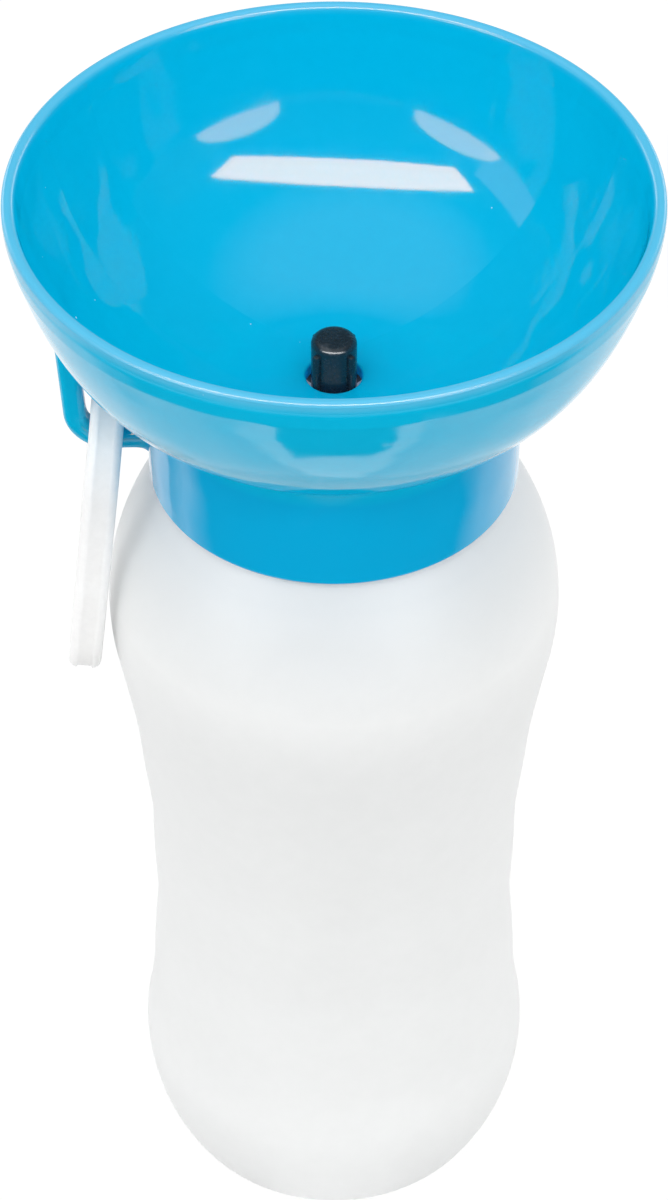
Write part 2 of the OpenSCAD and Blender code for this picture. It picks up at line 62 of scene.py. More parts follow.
placeCamera()
print("camera placed")


def arcOf(cx, cz, radius, a0, a1, count):
    # points (cx + radius cos a, cz + radius sin a) for a from a0 to a1 degrees
    a = np.radians(np.linspace(a0, a1, count))
    return np.stack([cx + radius * np.cos(a), cz + radius * np.sin(a)], 1)


def rounded(corners, radii, steps=7, closed=True):
    # each corner P becomes an arc tangent to both of its sides: it starts radius/tan(half)
    # back along the side, and its centre lies radius/sin(half) along the bisector
    p = np.asarray(corners, float)
    r = np.maximum(np.broadcast_to(radii, len(p)).astype(float), 1e-4)
    a = np.roll(p, 1, 0) - p
    b = np.roll(p, -1, 0) - p
    a /= np.linalg.norm(a, axis=1, keepdims=True)
    b /= np.linalg.norm(b, axis=1, keepdims=True)
    half = np.arccos(np.clip((a * b).sum(1), -1, 1)) / 2
    mid = a + b
    mid /= np.linalg.norm(mid, axis=1, keepdims=True)
    centre = p + mid * (r / np.sin(half))[:, None]
    start = p + a * (r / np.tan(half))[:, None] - centre
    side = np.sign(a[:, 0] * b[:, 1] - a[:, 1] * b[:, 0])
    t = np.linspace(0, 1, steps)[None, :] * ((np.pi - 2 * half) * -side)[:, None]
    x = start[:, :1] * np.cos(t) - start[:, 1:] * np.sin(t)
    z = start[:, :1] * np.sin(t) + start[:, 1:] * np.cos(t)
    ring = np.stack([x, z], 2) + centre[:, None, :]
    if not closed:
        ring[0] = p[0]
        ring[-1] = p[-1]
        return np.concatenate([p[:1], ring[1:-1].reshape(-1, 2), p[-1:]])
    return ring.reshape(-1, 2)


def gridFaces(rows, cols, wrapRows):
    # quads (i, j), (i+1, j), (i+1, j+1), (i, j+1) over a grid of points whose columns close
    i = np.arange(rows if wrapRows else rows - 1)[:, None]
    j = np.arange(cols)[None, :]
    k = (i + 1) % rows
    m = (j + 1) % cols
    return np.stack([i * cols + j, k * cols + j, k * cols + m, i * cols + m], 2).reshape(-1, 4)


def fanFaces(ring, centre):
    # triangles (ring i, ring i+1, centre)
    return np.stack([ring, np.roll(ring, -1), np.full_like(ring, centre)], 1)


def shell(points, quads, tris=None):
    # a closed part: flipped as a whole if the sum of a . (b x c) / 6 over its faces is below 0
    tris = np.zeros((0, 3), int) if tris is None else tris
    every = np.concatenate([quads[:, [0, 1, 2]], quads[:, [0, 2, 3]], tris])
    a, b, c = points[every[:, 0]], points[every[:, 1]], points[every[:, 2]]
    if (a * np.cross(b, c)).sum() < 0:
        quads = quads[:, ::-1]
        tris = tris[:, ::-1]
    return points, quads, tris


def turned(profile, around=192, closed=False):
    # point (r cos a, r sin a, z) for each (r, z) of the profile and each angle a
    p = np.asarray(profile, float)
    a = np.linspace(0, 2 * np.pi, around, endpoint=False)
    pole0 = not closed and p[0, 0] < 1e-6
    pole1 = not closed and p[-1, 0] < 1e-6
    body = p[int(pole0):len(p) - int(pole1)]
    pts = np.stack([body[:, :1] * np.cos(a), body[:, :1] * np.sin(a),
                    np.repeat(body[:, 1:], around, 1)], 2).reshape(-1, 3)
    quads = gridFaces(len(body), around, closed)
    tris = []
    if pole0:
        tris.append(fanFaces(np.arange(around), len(pts)))
        pts = np.concatenate([pts, [[0, 0, p[0, 1]]]])
    if pole1:
        last = (len(body) - 1) * around
        tris.append(fanFaces(last + np.arange(around), len(pts))[:, ::-1])
        pts = np.concatenate([pts, [[0, 0, p[-1, 1]]]])
    return shell(pts, quads, np.concatenate(tris) if tris else None)


def swept(path, side, up, section):
    # point path(s) + u side(s) + v up(s) for each place s and each (u, v) of the section
    # there; the ends are closed by a fan round their middle
    pts = (path[:, None, :] + section[:, :, :1] * side[:, None, :]
           + section[:, :, 1:] * up[:, None, :])
    n, m = pts.shape[:2]
    quads = gridFaces(n, m, False)
    ends = np.stack([pts[0].mean(0), pts[-1].mean(0)])
    tris = np.concatenate([fanFaces(np.arange(m), n * m),
                           fanFaces((n - 1) * m + np.arange(m), n * m + 1)[:, ::-1]])
    return shell(np.concatenate([pts.reshape(-1, 3), ends]), quads, tris)


def piece(name, body, parts, material, replaces, sharp=40):
    # one mesh from closed parts in millimetres, smooth up to the angle sharp in degrees
    points, faces, base = [], [], 0
    for pts, quads, tris in parts:
        points.append(pts)
        faces += (quads + base).tolist() + (tris + base).tolist()
        base += len(pts)
    mesh = bpy.data.meshes.new(name)
    mesh.from_pydata((np.concatenate(points) * mm).tolist(), [], faces)
    mesh.shade_smooth()
    mesh.set_sharp_from_angle(angle=math.radians(sharp))
    mesh.materials.append(material)
    made = bpy.data.objects.new(name, mesh)
    bpy.context.scene.collection.objects.link(made)
    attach(made, body)
    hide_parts(*replaces)
    print("made", name, len(faces), "faces")


def newMaterial(name):
    # an empty node material with its nodes, its links and its Principled shader
    material = bpy.data.materials.new(name)
    material.use_nodes = True
    nodes = material.node_tree.nodes
    return material, nodes, material.node_tree.links, nodes["Principled BSDF"]


def effectGroup(name, outputs, **inputs):
    # an empty node group with a number coming out by each of the outputs, and one going in by
    # each of the inputs with the value that it has if it isn't set
    group = bpy.data.node_groups.new(name, "ShaderNodeTree")
    for label, value in inputs.items():
        socket = group.interface.new_socket(label, in_out="INPUT", socket_type="NodeSocketFloat")
        socket.default_value = value
    for label in outputs:
        group.interface.new_socket(label, in_out="OUTPUT", socket_type="NodeSocketFloat")
    return group, group.nodes, group.links, group.nodes.new("NodeGroupInput"), \
        group.nodes.new("NodeGroupOutput")


def mathNode(nodes, links, operation, a, b=None):
    # operation on a and b, each of which is a number or a socket
    node = nodes.new("ShaderNodeMath")
    node.operation = operation
    for socket, value in zip(node.inputs, (a, b)):
        if isinstance(value, bpy.types.NodeSocket):
            links.new(value, socket)
        elif value is not None:
            socket.default_value = value
    return node.outputs[0]


def noiseNode(nodes, links, place, scale, detail=2.0, roughness=0.5):
    # noise from 0 to 1 with features 1 / scale across
    node = nodes.new("ShaderNodeTexNoise")
    node.inputs["Detail"].default_value = detail
    node.inputs["Roughness"].default_value = roughness
    links.new(place, node.inputs["Vector"])
    if isinstance(scale, bpy.types.NodeSocket):
        links.new(scale, node.inputs["Scale"])
    else:
        node.inputs["Scale"].default_value = scale
    return node.outputs["Fac"]


def makeDust():
    # small round specks: 1 where the distance to a scattered point is under Size times a
    # random number of the point's own, for the share Amount of the points
    group, nodes, links, come, leave = effectGroup("dustSpecks", ["Mask"], Scale=400.0,
                                                   Size=0.12, Amount=0.5)
    place = nodes.new("ShaderNodeTexCoord").outputs["Object"]
    cells = nodes.new("ShaderNodeTexVoronoi")
    links.new(place, cells.inputs["Vector"])
    links.new(come.outputs["Scale"], cells.inputs["Scale"])
    split = nodes.new("ShaderNodeSeparateColor")
    links.new(cells.outputs["Color"], split.inputs["Color"])
    size = mathNode(nodes, links, "MULTIPLY", split.outputs[0], come.outputs["Size"])
    inside = mathNode(nodes, links, "LESS_THAN", cells.outputs["Distance"], size)
    keep = mathNode(nodes, links, "LESS_THAN", split.outputs[1], come.outputs["Amount"])
    links.new(mathNode(nodes, links, "MULTIPLY", inside, keep), leave.inputs["Mask"])
    return group


def makeFlow():
    # broad, shallow waves of a moulded face as a height, and a noise that is finer times as
    # fine as a mask
    finer = 9.0
    group, nodes, links, come, leave = effectGroup("mouldFlow", ["Height", "Mask"], Scale=40.0)
    place = nodes.new("ShaderNodeTexCoord").outputs["Object"]
    broad = noiseNode(nodes, links, place, come.outputs["Scale"], 1.0, 0.4)
    fine = mathNode(nodes, links, "MULTIPLY", come.outputs["Scale"], finer)
    links.new(broad, leave.inputs["Height"])
    links.new(noiseNode(nodes, links, place, fine, 3.0, 0.6), leave.inputs["Mask"])
    return group


def makeScratch():
    # thin lines: a noise that is stretched stretch times along one direction and is cut to its
    # highest part, from Level to blur above it
    stretch, blur = 62.5, 0.05
    group, nodes, links, come, leave = effectGroup("fineScratches", ["Mask"], Scale=900.0,
                                                   Turn=0.6, Level=0.66)
    place = nodes.new("ShaderNodeTexCoord").outputs["Object"]
    turn = nodes.new("ShaderNodeVectorRotate")
    turn.rotation_type = "Y_AXIS"
    links.new(place, turn.inputs["Vector"])
    links.new(come.outputs["Turn"], turn.inputs["Angle"])
    thin = nodes.new("ShaderNodeVectorMath")
    thin.operation = "MULTIPLY"
    thin.inputs[1].default_value = (1.0, 1.0, 1 / stretch)
    links.new(turn.outputs[0], thin.inputs[0])
    lines = noiseNode(nodes, links, thin.outputs[0], come.outputs["Scale"], 1.0, 0.4)
    ramp = nodes.new("ShaderNodeMapRange")
    links.new(lines, ramp.inputs["Value"])
    links.new(come.outputs["Level"], ramp.inputs["From Min"])
    links.new(mathNode(nodes, links, "ADD", come.outputs["Level"], blur), ramp.inputs["From Max"])
    links.new(ramp.outputs[0], leave.inputs["Mask"])
    return group


dustSpecks = makeDust()
mouldFlow = makeFlow()
fineScratches = makeScratch()


def useGroup(nodes, group, **values):
    # the outputs of a shared effect with its values set
    node = nodes.new("ShaderNodeGroup")
    node.node_tree = group
    for label, value in values.items():
        node.inputs[label].default_value = value
    return node.outputs


def tint(nodes, links, fac, low, high):
    # colour low + fac (high - low), with numbers or sockets
    ramp = nodes.new("ShaderNodeMix")
    ramp.data_type = "RGBA"
    links.new(fac, ramp.inputs["Factor"])
    for socket, value in ((ramp.inputs[6], low), (ramp.inputs[7], high)):
        if isinstance(value, bpy.types.NodeSocket):
            links.new(value, socket)
        else:
            socket.default_value = (*value, 1.0)
    return ramp.outputs[2]


def spread(nodes, links, fac, low, high, fromLow=0.3, fromHigh=0.7):
    # low + (high - low) (fac - fromLow) / (fromHigh - fromLow), held between low and high
    node = nodes.new("ShaderNodeMapRange")
    links.new(fac, node.inputs["Value"])
    node.inputs["From Min"].default_value = fromLow
    node.inputs["From Max"].default_value = fromHigh
    node.inputs["To Min"].default_value = low
    node.inputs["To Max"].default_value = high
    return node.outputs[0]


def blendOf(nodes, links, fac, low, high):
    # value low + fac (high - low), with numbers or sockets
    node = nodes.new("ShaderNodeMix")
    links.new(fac, node.inputs["Factor"])
    for socket, value in ((node.inputs[2], low), (node.inputs[3], high)):
        if isinstance(value, bpy.types.NodeSocket):
            links.new(value, socket)
        else:
            socket.default_value = value
    return node.outputs[0]


def bumpNode(nodes, links, height, distance, normal=None):
    # normal tipped by the slope of distance * height
    node = nodes.new("ShaderNodeBump")
    node.inputs["Distance"].default_value = distance
    links.new(height, node.inputs["Height"])
    if normal is not None:
        links.new(normal, node.inputs["Normal"])
    return node.outputs["Normal"]


def moulded(name, look):
    # moulded plastic: two close tones mixed by the flow's fine mask, a few specks of dust,
    # a roughness that wanders a little, and the flow's waves and grain as a bump
    material, nodes, links, shader = newMaterial(name)
    flow = useGroup(nodes, mouldFlow, Scale=look["flowScale"])
    colour = tint(nodes, links, spread(nodes, links, flow["Mask"], 0, 1), look["low"], look["high"])
    if look["dust"]:
        dust = useGroup(nodes, dustSpecks, Scale=look["dustScale"], Size=look["dustSize"],
                        Amount=look["dust"])
        colour = tint(nodes, links, dust["Mask"], colour, look["dustColour"])
    links.new(colour, shader.inputs["Base Color"])
    links.new(spread(nodes, links, flow["Mask"], *look["gloss"]), shader.inputs["Roughness"])
    normal = bumpNode(nodes, links, flow["Height"], look["wave"] * mm)
    links.new(bumpNode(nodes, links, flow["Mask"], look["grain"] * mm, normal),
              shader.inputs["Normal"])
    shader.inputs["IOR"].default_value = look["ior"]
    if look["soft"]:
        shader.inputs["Subsurface Weight"].default_value = look["soft"]
        shader.inputs["Subsurface Radius"].default_value = (1.0, 1.0, 1.0)
        shader.inputs["Subsurface Scale"].default_value = look["softDepth"] * mm
    return material, nodes, links, shader


# lengths are in mm, and a scale is the number of features in a metre
# blueLook's rim tone is a painted pale sheen, its neck tone a painted shade and its hole tone a
# painted glow
blueLook = dict(low=(0.0, 0.435, 0.69), high=(0.0, 0.45, 0.705), flowScale=55.0, wave=0.07,
                grain=0.002, gloss=(0.05, 0.09), ior=1.46, soft=0, dust=0.22, dustScale=260.0,
                dustSize=0.055, dustColour=(0.6, 0.78, 0.9), shineTint=(1.0, 0.5, 0.16),
                rimZ=208.2, rimFadeZ=1.8, rimR=46.9, rimFadeR=0.5, rimGloss=0.25,
                rimSheenTone=(0.07, 0.44, 0.68), neckZ=173.0, neckFadeZ=2.0, neckR=29.3,
                neckFadeR=0.5, neckShadeTone=(0.0, 0.365, 0.655), rippleScale=75.0, ripple=1.5,
                rippleWide=0.6, rippleFade=(-10.0, 5.0), outside=0.35, outsideFade=0.15,
                holeR=4.45, holeFade=0.25, holeGlowTone=(0.0, 0.05, 0.15))
# bottleLook's top tone is a painted shade, a little blue, under the collar
bottleLook = dict(low=(0.895, 0.91, 0.905), high=(0.91, 0.925, 0.92), flowScale=30.0, wave=0.08,
                  grain=0.004, gloss=(0.42, 0.5), ior=1.45, soft=0.5, softDepth=6.0, dust=0,
                  topZ=134.0, topFade=18.0, collarShadeTone=(0.66, 0.69, 0.71))
# whiteLook's last colour is a painted glow, used only by the valve housing
whiteLook = dict(low=(0.81, 0.805, 0.80), high=(0.84, 0.835, 0.83), flowScale=90.0, wave=0.03,
                 grain=0.006, gloss=(0.42, 0.5), ior=1.32, soft=1.0, softDepth=4.0, dust=0,
                 paintedGlow=(0.09, 0.11, 0.15))
darkLook = dict(low=(0.008, 0.018, 0.026), high=(0.014, 0.026, 0.036), flowScale=200.0,
                wave=0.02, grain=0.004, gloss=(0.2, 0.3), ior=1.5, soft=0, dust=0.1,
                dustScale=700.0, dustSize=0.06, dustColour=(0.2, 0.22, 0.24),
                scratch=(0.07, 0.08, 0.09), scratchScale=420.0, scratchTurn=0.9,
                scratchCut=0.68, scratchLevel=0.35, scratchDeep=0.5)
wireLook = dict(low=(0.55, 0.56, 0.57), high=(0.7, 0.7, 0.7), gloss=(0.22, 0.36),
                lineScale=1500.0, lineTurn=1.57, lineCut=0.5)


def placeParts(nodes, links):
    # place in the object's own coordinates, its x, y and z, and its distance r from the axis
    place = nodes.new("ShaderNodeTexCoord").outputs["Object"]
    split = nodes.new("ShaderNodeSeparateXYZ")
    links.new(place, split.inputs[0])
    flat = nodes.new("ShaderNodeVectorMath")
    flat.operation = "MULTIPLY"
    flat.inputs[1].default_value = (1, 1, 0)
    links.new(place, flat.inputs[0])
    reach = nodes.new("ShaderNodeVectorMath")
    reach.operation = "LENGTH"
    links.new(flat.outputs[0], reach.inputs[0])
    return place, split.outputs, reach.outputs["Value"]


def rippleHeight(nodes, links, place, xyz, look):
    # ripples left by the mould: noise times a mask that rises in front and at the sides, where
    # y - rippleWide |x| falls through rippleFade, and that drops to the share outside as the
    # normal's z drops from outsideFade to 0
    wide = mathNode(nodes, links, "MULTIPLY", mathNode(nodes, links, "ABSOLUTE", xyz[0]),
                    look["rippleWide"])
    part = spread(nodes, links, mathNode(nodes, links, "SUBTRACT", xyz[1], wide), 1, 0,
                  look["rippleFade"][0] * mm, look["rippleFade"][1] * mm)
    facing = nodes.new("ShaderNodeSeparateXYZ")
    links.new(nodes.new("ShaderNodeTexCoord").outputs["Normal"], facing.inputs[0])
    part = mathNode(nodes, links, "MULTIPLY", part,
                    spread(nodes, links, facing.outputs[2], look["outside"], 1, 0,
                           look["outsideFade"]))
    return mathNode(nodes, links, "MULTIPLY", part,
                    noiseNode(nodes, links, place, look["rippleScale"], 1.0, 0.4))


def zoneMask(nodes, links, z, reach, look, zone, below):
    # 1 where z is above the zone's Z and its distance from the axis is over the zone's R, or,
    # if below, where both are under them; each fades over the zone's FadeZ and FadeR
    ends = (1, 0) if below else (0, 1)
    lowZ, lowR = look[zone + "Z"], look[zone + "R"]
    return mathNode(nodes, links, "MULTIPLY",
                    spread(nodes, links, z, *ends, lowZ * mm, (lowZ + look[zone + "FadeZ"]) * mm),
                    spread(nodes, links, reach, *ends, lowR * mm,
                           (lowR + look[zone + "FadeR"]) * mm))


def blueFinish():
    # the blue plastic: satin and even on the rim, which has a painted pale sheen, and a painted
    # shade round the neck, where the bowl's overhang shades the collar
    look = blueLook
    material, nodes, links, shader = moulded("blueGloss", look)
    place, xyz, reach = placeParts(nodes, links)
    rim = zoneMask(nodes, links, xyz[2], reach, look, "rim", False)
    neck = zoneMask(nodes, links, xyz[2], reach, look, "neck", True)
    height = rippleHeight(nodes, links, place, xyz, look)
    normal = shader.inputs["Normal"].links[0].from_socket
    rippled = bumpNode(nodes, links, height, look["ripple"] * mm, normal)
    even = nodes.new("ShaderNodeMix")
    even.data_type = "VECTOR"
    links.new(rim, even.inputs["Factor"])
    links.new(rippled, even.inputs[4])
    links.new(nodes.new("ShaderNodeNewGeometry").outputs["Normal"], even.inputs[5])
    links.new(even.outputs[1], shader.inputs["Normal"])
    plain = shader.inputs["Roughness"].links[0].from_socket
    links.new(blendOf(nodes, links, rim, plain, look["rimGloss"]), shader.inputs["Roughness"])
    tone = shader.inputs["Base Color"].links[0].from_socket
    # the neck's deeper tone is a painted shade under the bowl's overhang
    shaded = tint(nodes, links, neck, tone, look["neckShadeTone"])
    # the rim's pale tone is a painted sheen, standing in for reflected light
    links.new(tint(nodes, links, rim, shaded, look["rimSheenTone"]), shader.inputs["Base Color"])
    shader.inputs["Specular Tint"].default_value = (*look["shineTint"], 1.0)
    # a painted glow in the valve's hole, which stands in for daylight soaking through the plastic
    glowInHole = spread(nodes, links, reach, 1, 0, look["holeR"] * mm,
                    (look["holeR"] + look["holeFade"]) * mm)
    links.new(tint(nodes, links, glowInHole, (0, 0, 0), look["holeGlowTone"]),
              shader.inputs["Emission Color"])
    shader.inputs["Emission Strength"].default_value = 1.0
    return material


blueGloss = blueFinish()


def bottleFinish():
    # the milky plastic, with a painted shade, a little blue, over the shoulder's top under the
    # collar: the mask is (z - topZ) / topFade
    look = bottleLook
    material, nodes, links, shader = moulded("bottleSoft", look)
    xyz = placeParts(nodes, links)[1]
    high = spread(nodes, links, xyz[2], 0, 1, look["topZ"] * mm,
                  (look["topZ"] + look["topFade"]) * mm)
    tone = shader.inputs["Base Color"].links[0].from_socket
    links.new(tint(nodes, links, high, tone, look["collarShadeTone"]), shader.inputs["Base Color"])
    return material


bottleSoft = bottleFinish()
whiteNatural = moulded("whiteNatural", whiteLook)[0]


def housingGlowWhite():
    # the same plastic with a painted glow, which stands in for daylight soaking through the parts
    # round it
    material, *_, shader = moulded("housingGlowWhite", whiteLook)
    shader.inputs["Emission Color"].default_value = (*whiteLook["paintedGlow"], 1.0)
    shader.inputs["Emission Strength"].default_value = 1.0
    return material


glowingHousing = housingGlowWhite()
plugLow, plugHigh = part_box("valve_plug")


def scratchedDark():
    # the plug's plastic with fine pale scratches down to scratchDeep below its top
    look = darkLook
    material, nodes, links, shader = moulded("plugDark", look)
    lines = useGroup(nodes, fineScratches, Scale=look["scratchScale"], Turn=look["scratchTurn"],
                     Level=look["scratchCut"])
    tone = shader.inputs["Base Color"].links[0].from_socket
    xyz = placeParts(nodes, links)[1]
    mark = mathNode(nodes, links, "MULTIPLY", lines["Mask"],
                    spread(nodes, links, xyz[2], 0, look["scratchLevel"],
                           plugHigh.z - look["scratchDeep"] * mm, plugHigh.z))
    links.new(tint(nodes, links, mark, tone, look["scratch"]), shader.inputs["Base Color"])
    return material


plugDark = scratchedDark()
sealClear = moulded("sealClear", dict(whiteLook, low=(0.72, 0.74, 0.74), high=(0.78, 0.8, 0.8),
                                      gloss=(0.35, 0.45), soft=0.4))[0]
sealDark = moulded("sealDark", dict(darkLook, low=(0.03, 0.03, 0.032), high=(0.045, 0.045, 0.048),
                                    gloss=(0.5, 0.6)))[0]
tubeClear = moulded("tubeClear", dict(whiteLook, low=(0.78, 0.82, 0.82), high=(0.84, 0.87, 0.87),
                                      gloss=(0.2, 0.28)))[0]


def drawnWire():
    # steel wire: bright metal whose tone and roughness follow long drawing lines
    look = wireLook
    material, nodes, links, shader = newMaterial("steelWire")
    lines = useGroup(nodes, fineScratches, Scale=look["lineScale"], Turn=look["lineTurn"],
                     Level=look["lineCut"])
    links.new(tint(nodes, links, lines["Mask"], look["low"], look["high"]),
              shader.inputs["Base Color"])
    links.new(spread(nodes, links, lines["Mask"], *look["gloss"], 0, 1),
              shader.inputs["Roughness"])
    shader.inputs["Metallic"].default_value = 1.0
    return material


steelWire = drawnWire()
print("materials made")

bottle = dict(height=156.6, shoulderR=36.7, shoulderDrop=28.3, shoulderRound=42.0,
              waistR=31.4, waistZ=66.0, footR=34.35, footZ=22.0, footRound=42.0, heelRound=6.0,
              waveDepth=0.3, wavePitch=24.0, hollow=1.2, footRing=4.5, hollowSlope=2.5,
              wall=1.3, baseRound=1.8, neckR=25.4, neckHeight=13.2, neckWall=2.0,
              neckStep=2.2, stepRound=0.9, lipRound=0.5, throatDrop=0.4, throatRound=1.2,
              threadRise=3.6, threadHeight=1.35)


def waistRadius(bulgeRound, inset, rise):
    # radius of the hollow arc that touches a bulge of radius bulgeRound: its waist lies
    # inset inside the bulge and rise above or below it
    return ((bulgeRound - inset) ** 2 + rise ** 2 - bulgeRound ** 2) / (2 * inset)


def bottleSide(inset):
    # heel, foot, hollow waist and shoulder as arcs that touch each other, moved in by inset,
    # less the grip waves: depth (1 - cos(2 pi (z - foot) / pitch)) / 2, fading at the top
    b = bottle
    shoulderZ = b["height"] - b["shoulderDrop"]
    rootR = b["neckR"] + b["neckStep"]
    footCx = b["footR"] - b["footRound"]
    heelCx = footCx + math.sqrt((b["footRound"] - b["heelRound"]) ** 2
                                - (b["footZ"] - b["heelRound"]) ** 2)
    heelA = math.degrees(math.atan2(b["heelRound"] - b["footZ"], heelCx - footCx))
    lowR = waistRadius(b["footRound"], b["footR"] - b["waistR"], b["waistZ"] - b["footZ"])
    lowA = math.degrees(math.atan2(b["waistZ"] - b["footZ"], b["waistR"] + lowR - footCx))
    topR = waistRadius(b["shoulderRound"], b["shoulderR"] - b["waistR"], shoulderZ - b["waistZ"])
    topCx = b["shoulderR"] - b["shoulderRound"]
    topA = math.degrees(math.atan2(shoulderZ - b["waistZ"], b["waistR"] + topR - topCx))
    reach = math.hypot(rootR - topCx, b["shoulderDrop"])
    endA = math.degrees(math.atan2(b["shoulderDrop"], rootR - topCx)
                        - math.acos(b["shoulderRound"] / reach))
    side = np.concatenate([
        arcOf(heelCx, b["heelRound"], b["heelRound"] - inset, -90, heelA, 20)[:-1],
        arcOf(footCx, b["footZ"], b["footRound"] - inset, heelA, lowA, 40)[:-1],
        arcOf(b["waistR"] + lowR, b["waistZ"], lowR + inset, 180 + lowA, 180, 40)[:-1],
        arcOf(b["waistR"] + topR, b["waistZ"], topR + inset, 180, 180 - topA, 60)[:-1],
        arcOf(topCx, shoulderZ, b["shoulderRound"] - inset, -topA, endA, 44)])
    z = side[:, 1]
    high = shoulderZ - b["wavePitch"] / 2
    wave = (1 - np.cos(2 * np.pi * (z - b["footZ"]) / b["wavePitch"])) / 2
    fade = np.clip((high - z) / b["wavePitch"], 0, 1) * (z > b["footZ"])
    side[:, 0] -= b["waveDepth"] * wave * fade
    return side


# the neck's thread and the collar's
thread = dict(pitch=4.0, turns=1.5, foot=2.1, footRound=0.01, crest=1.0, crestRound=0.2, sink=0.4)


def helix(wallR, tipR, startZ, startDeg, perTurn=96):
    # rounded rib from sink inside the wall out to tipR, which climbs pitch in one turn: its
    # height grows from 0 over the first and last sixth of a turn by a sine
    k = thread
    rootR = wallR - math.copysign(k["sink"], tipR - wallR)
    n = int(round(k["turns"] * perTurn)) + 1
    t = np.linspace(0, k["turns"], n)
    a = np.radians(startDeg) + 2 * np.pi * t
    grow = np.sin(np.clip(np.minimum(t, k["turns"] - t) * 6, 0, 1) * np.pi / 2)
    out = np.stack([np.cos(a), np.sin(a), 0 * a], 1)
    path = out * rootR + np.stack([0 * a, 0 * a, startZ + k["pitch"] * t], 1)
    foot, crest = k["foot"] / 2, k["crest"] / 2
    rib = rounded([(0, -foot), (1, -crest), (1, crest), (0, foot)],
                  [k["footRound"], k["crestRound"], k["crestRound"], k["footRound"]], 4)
    section = np.repeat(rib[None], n, 0)
    section[:, :, 0] *= (tipR - rootR) * np.maximum(grow, 0.02)[:, None]
    return swept(path, out, np.repeat([[0.0, 0.0, 1.0]], n, 0), section)


def makeBottle():
    # one closed profile, turned: the hollow base, the side, the neck, and the inside, which is
    # the side moved in by the wall. The neck's thread is a part of its own
    b = bottle
    side, inner = bottleSide(0), bottleSide(b["wall"])
    baseR = side[0, 0]
    top = b["height"] + b["neckHeight"]
    neckIn = b["neckR"] - b["neckWall"]
    hollowR = baseR - b["footRing"] - b["hollowSlope"]
    under = rounded([(0, b["hollow"]), (hollowR, b["hollow"]), (baseR - b["footRing"], 0.0),
                     (baseR, 0.0)], [0, b["baseRound"], b["baseRound"], 0], 9, closed=False)
    neck = rounded([side[-1], (b["neckR"] + b["neckStep"], b["height"]),
                    (b["neckR"], b["height"]), (b["neckR"], top), (neckIn, top),
                    (neckIn, b["height"] - b["throatDrop"]), inner[-1]],
                   [0, b["stepRound"], b["lipRound"], b["lipRound"], b["lipRound"],
                    b["throatRound"], 0], closed=False)
    floor = rounded([(baseR, b["wall"]), (baseR - b["footRing"], b["wall"]),
                     (hollowR, b["hollow"] + b["wall"]), (0, b["hollow"] + b["wall"])],
                    [0, b["baseRound"], b["baseRound"], 0], closed=False)
    profile = np.concatenate([under[:-1], side[:-1], neck, inner[::-1][1:-1], floor])
    ridge = helix(b["neckR"], b["neckR"] + b["threadHeight"], b["height"] + b["threadRise"], 0)
    piece("bottleBody", "bottle", [turned(profile), ridge], bottleSoft, ["bottle"])


makeBottle()

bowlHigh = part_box("drinking_bowl")[1]
bowl = dict(rimR=bowlHigh.x / mm, topZ=bowlHigh.z / mm, depth=38.3, wall=2.2, rimWall=1.8,
            rimDrop=0.4, rimOut=0.78, rimIn=1.0, rimFlow=10.0, floorRound=36.0, flare=23.5,
            sideRound=67.5, band=4.2, bandSlope=1.0, bandRise=2.4, bandStep=0.4, bandRound=6.0,
            rimStep=0.5, rimPoints=8, holeR=4.37, holeLip=0.4, bossR=10.02, bossIn=8.17,
            bossH=8.45, bossEdge=0.3, bossRoot=0.5, landR=27.0, landIn=20.5, landH=1.05,
            landEdge=0.25, landRoot=0.2, landClear=0.4)


def bowlSide(inset):
    # floor arc and the flatter side arc above it, which touch each other, moved in by inset
    b = bowl
    baseZ = b["topZ"] - b["depth"]
    bandZ = b["topZ"] - b["band"] - b["bandSlope"]
    flareSin = math.sin(math.radians(b["flare"]))
    flareZ = baseZ + b["floorRound"] * (1 - flareSin)
    lean = math.degrees(math.asin(flareSin - (bandZ - flareZ) / b["sideRound"]))
    bandR = b["rimR"] - b["rimStep"]
    sideCx = bandR - b["sideRound"] * math.cos(math.radians(lean))
    floorR = sideCx + (b["sideRound"] - b["floorRound"]) * math.cos(math.radians(b["flare"]))
    return np.concatenate([
        arcOf(floorR, baseZ + b["floorRound"], b["floorRound"] - inset, -90, -b["flare"], 48)[:-1],
        arcOf(sideCx, flareZ + b["sideRound"] * flareSin, b["sideRound"] - inset, -b["flare"],
              -lean, 32)])


